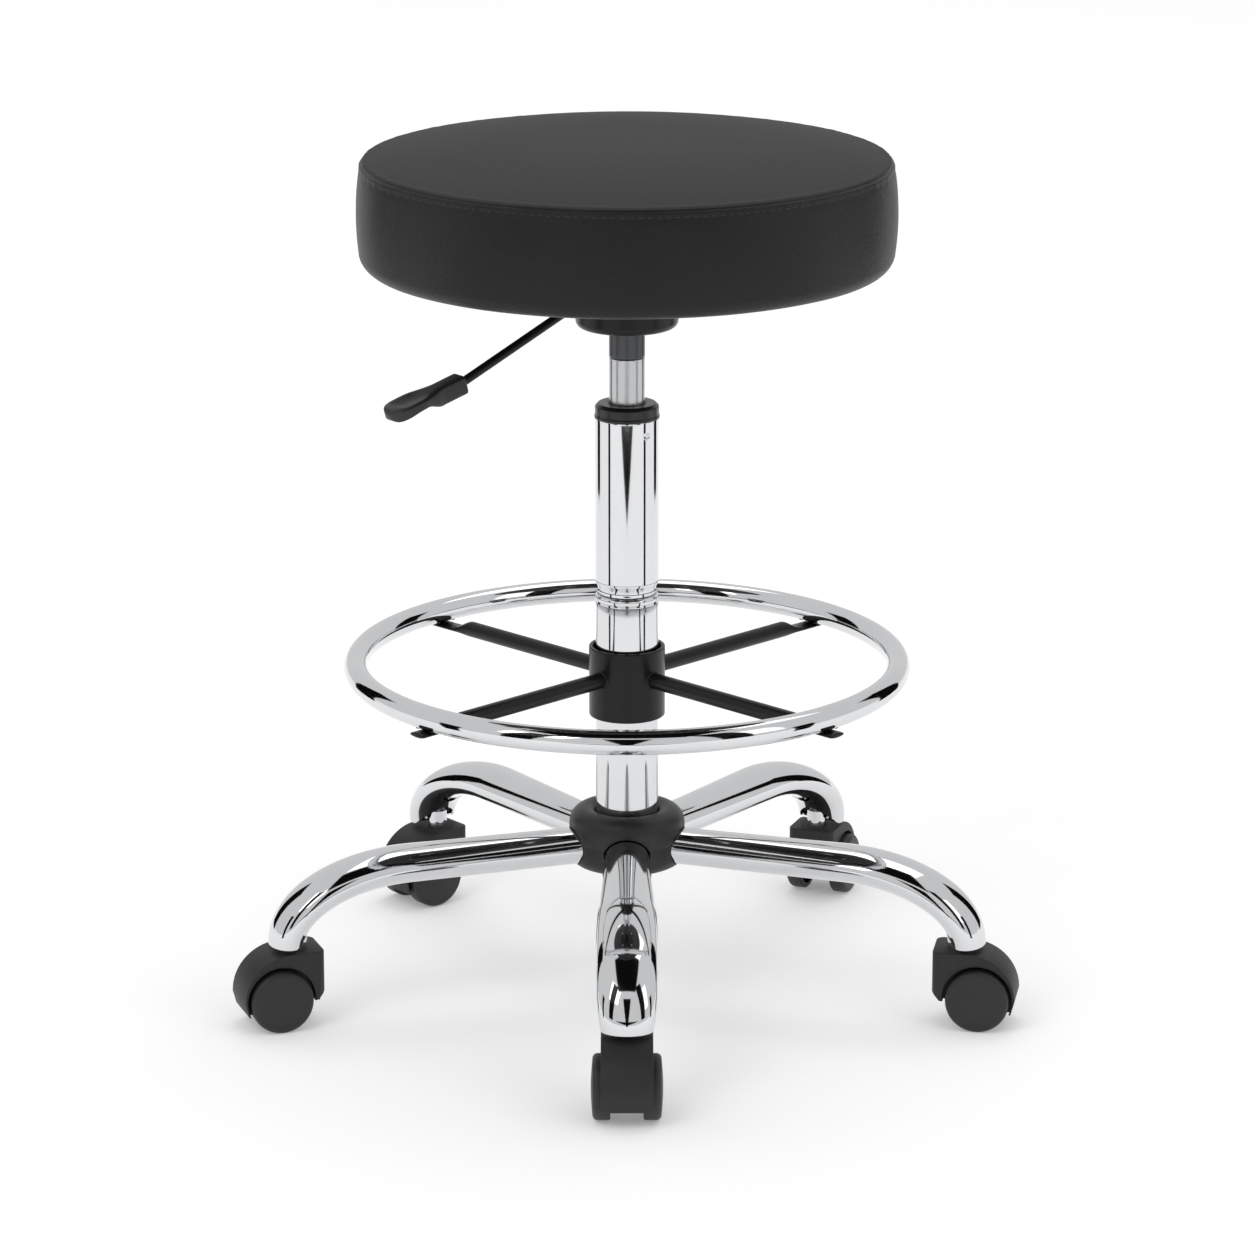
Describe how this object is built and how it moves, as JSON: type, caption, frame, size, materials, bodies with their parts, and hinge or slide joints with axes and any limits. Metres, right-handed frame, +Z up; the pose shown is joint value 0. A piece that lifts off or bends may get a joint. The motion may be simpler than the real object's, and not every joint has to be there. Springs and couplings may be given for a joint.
{
  "type": "adjustable swivel stool",
  "caption": "Height-adjustable swivel stool: round padded seat on a gas lift, sliding foot ring, chrome gooseneck legs and twin-wheel casters.",
  "frame": {"origin": "floor level, at the middle of the footprint's bounding box; the column's axis stands slightly behind it", "axes": "+Z up along the column, -Y is the front, where one leg points straight forward, +X to the right seen from the front"},
  "size_m": [0.6204, 0.5924, 0.689],
  "materials": {
    "seat_vinyl": "satin",
    "foam": "matte",
    "plywood": "matte",
    "dust_cloth": "matte",
    "chrome": "polished",
    "satin_steel": "satin",
    "dark_steel": "satin",
    "zinc_steel": "satin",
    "black_coat": "satin",
    "hub_plastic": "matte",
    "cap_plastic": "satin",
    "caster_plastic": "matte",
    "wheel_plastic": "matte",
    "lever_plastic": "satin",
    "bumper_rubber": "matte"
  },
  "bodies": {
    "base": {"hub_core": "dark_steel", "hub_cover_top": "hub_plastic", "hub_cover_bottom": "hub_plastic", "front_leg": "chrome", "right_leg": "chrome", "rear_right_leg": "chrome", "rear_left_leg": "chrome", "left_leg": "chrome", "stem_sockets": "chrome", "grip_rings": "satin_steel", "post": "chrome", "standpipe": "chrome", "guide_bushing": "cap_plastic", "thrust_bearing": "satin_steel"},
    "lift_rod": {"piston_rod": "satin_steel", "piston": "cap_plastic", "bumper": "bumper_rubber", "rod_clip": "zinc_steel"},
    "seat": {"gas_cylinder": "satin_steel", "rod_guide": "cap_plastic", "seat_mount": "black_coat", "lever_pivot": "zinc_steel", "plate_bolts": "zinc_steel", "dust_cover": "dust_cloth", "seat_board": "plywood", "seat_foam": "foam", "seat_cover": "seat_vinyl"},
    "valve_pin": {"release_pin": "satin_steel"},
    "lever": {"lever_rod": "black_coat", "lever_handle": "lever_plastic"},
    "ring": {"foot_ring": "chrome", "ring_spokes": "black_coat", "ring_collar": "black_coat"},
    "clamp_travel": {"clamp_screw": "zinc_steel"},
    "clamp_grip": {"clamp_knob": "cap_plastic"},
    "front_caster": {"front_caster_hood": "caster_plastic", "front_caster_stem": "zinc_steel", "front_caster_axle": "zinc_steel"},
    "front_roller_a": {"front_wheel_a": "wheel_plastic"},
    "front_roller_b": {"front_wheel_b": "wheel_plastic"},
    "right_caster": {"right_caster_hood": "caster_plastic", "right_caster_stem": "zinc_steel", "right_caster_axle": "zinc_steel"},
    "right_roller_a": {"right_wheel_a": "wheel_plastic"},
    "right_roller_b": {"right_wheel_b": "wheel_plastic"},
    "rear_right_caster": {"rear_right_caster_hood": "caster_plastic", "rear_right_caster_stem": "zinc_steel", "rear_right_caster_axle": "zinc_steel"},
    "rear_right_roller_a": {"rear_right_wheel_a": "wheel_plastic"},
    "rear_right_roller_b": {"rear_right_wheel_b": "wheel_plastic"},
    "rear_left_caster": {"rear_left_caster_hood": "caster_plastic", "rear_left_caster_stem": "zinc_steel", "rear_left_caster_axle": "zinc_steel"},
    "rear_left_roller_a": {"rear_left_wheel_a": "wheel_plastic"},
    "rear_left_roller_b": {"rear_left_wheel_b": "wheel_plastic"},
    "left_caster": {"left_caster_hood": "caster_plastic", "left_caster_stem": "zinc_steel", "left_caster_axle": "zinc_steel"},
    "left_roller_a": {"left_wheel_a": "wheel_plastic"},
    "left_roller_b": {"left_wheel_b": "wheel_plastic"}
  },
  "joints": [
    {"name": "seat_swivel", "type": "hinge", "parent": "base", "child": "lift_rod", "pos_m": [0, 0.02412, 0.469], "axis": [0, 0, 1], "continuous": true},
    {"name": "seat_lift", "type": "slide", "parent": "lift_rod", "child": "seat", "axis": [0, 0, 1], "range_m": [-0.035, 0.165]},
    {"name": "lever_tilt", "type": "hinge", "parent": "seat", "child": "lever", "pos_m": [-0.02364, 0.00565, 0.57315], "axis": [-0.6157, 0.788, 0], "range_deg": [0, 8.05], "stiffness_Nm_per_rad": 0.6, "springref_deg": -5.73},
    {"name": "valve_press", "type": "slide", "parent": "seat", "child": "valve_pin", "axis": [0, 0, -1], "range_m": [0, 0.00423]},
    {"name": "ring_slide", "type": "slide", "parent": "base", "child": "ring", "axis": [0, 0, 1], "range_m": [-0.07, 0.035]},
    {"name": "clamp_advance", "type": "slide", "parent": "ring", "child": "clamp_travel", "axis": [0, 1, 0], "range_m": [0, 0.005]},
    {"name": "clamp_turn", "type": "hinge", "parent": "clamp_travel", "child": "clamp_grip", "pos_m": [0, 0.02412, 0.245], "axis": [0, 1, 0], "range_deg": [0, 1440]},
    {"name": "front_caster_swivel", "type": "hinge", "parent": "base", "child": "front_caster", "pos_m": [0, -0.24868, 0.0625], "axis": [0, 0, 1], "continuous": true},
    {"name": "front_wheel_a_roll", "type": "hinge", "parent": "front_caster", "child": "front_roller_a", "pos_m": [0, -0.26668, 0.025], "axis": [1, 0, 0], "continuous": true},
    {"name": "front_wheel_b_roll", "type": "hinge", "parent": "front_caster", "child": "front_roller_b", "pos_m": [0, -0.26668, 0.025], "axis": [1, 0, 0], "continuous": true},
    {"name": "right_caster_swivel", "type": "hinge", "parent": "base", "child": "right_caster", "pos_m": [0.25945, -0.06018, 0.0625], "axis": [0, 0, 1], "continuous": true},
    {"name": "right_wheel_a_roll", "type": "hinge", "parent": "right_caster", "child": "right_roller_a", "pos_m": [0.27718, -0.06331, 0.025], "axis": [0.1736, 0.9848, 0], "continuous": true},
    {"name": "right_wheel_b_roll", "type": "hinge", "parent": "right_caster", "child": "right_roller_b", "pos_m": [0.27718, -0.06331, 0.025], "axis": [0.1736, 0.9848, 0], "continuous": true},
    {"name": "rear_right_caster_swivel", "type": "hinge", "parent": "base", "child": "rear_right_caster", "pos_m": [0.16035, 0.24482, 0.0625], "axis": [0, 0, 1], "continuous": true},
    {"name": "rear_right_wheel_a_roll", "type": "hinge", "parent": "rear_right_caster", "child": "rear_right_roller_a", "pos_m": [0.1668, 0.26162, 0.025], "axis": [-0.9336, 0.3584, 0], "continuous": true},
    {"name": "rear_right_wheel_b_roll", "type": "hinge", "parent": "rear_right_caster", "child": "rear_right_roller_b", "pos_m": [0.1668, 0.26162, 0.025], "axis": [-0.9336, 0.3584, 0], "continuous": true},
    {"name": "rear_left_caster_swivel", "type": "hinge", "parent": "base", "child": "rear_left_caster", "pos_m": [-0.16035, 0.24482, 0.0625], "axis": [0, 0, 1], "continuous": true},
    {"name": "rear_left_wheel_a_roll", "type": "hinge", "parent": "rear_left_caster", "child": "rear_left_roller_a", "pos_m": [-0.17414, 0.23325, 0.025], "axis": [0.6428, -0.766, 0], "continuous": true},
    {"name": "rear_left_wheel_b_roll", "type": "hinge", "parent": "rear_left_caster", "child": "rear_left_roller_b", "pos_m": [-0.17414, 0.23325, 0.025], "axis": [0.6428, -0.766, 0], "continuous": true},
    {"name": "left_caster_swivel", "type": "hinge", "parent": "base", "child": "left_caster", "pos_m": [-0.25945, -0.06018, 0.0625], "axis": [0, 0, 1], "continuous": true},
    {"name": "left_wheel_a_roll", "type": "hinge", "parent": "left_caster", "child": "left_roller_a", "pos_m": [-0.27636, -0.06634, 0.025], "axis": [0.342, -0.9397, 0], "continuous": true},
    {"name": "left_wheel_b_roll", "type": "hinge", "parent": "left_caster", "child": "left_roller_b", "pos_m": [-0.27636, -0.06634, 0.025], "axis": [0.342, -0.9397, 0], "continuous": true}
  ],
  "couplings": [
    {"joint": "valve_press", "follows": "lever_tilt", "m_per_rad": 0.03},
    {"joint": "clamp_advance", "follows": "clamp_turn", "m_per_rad": 0.00019894}
  ]
}
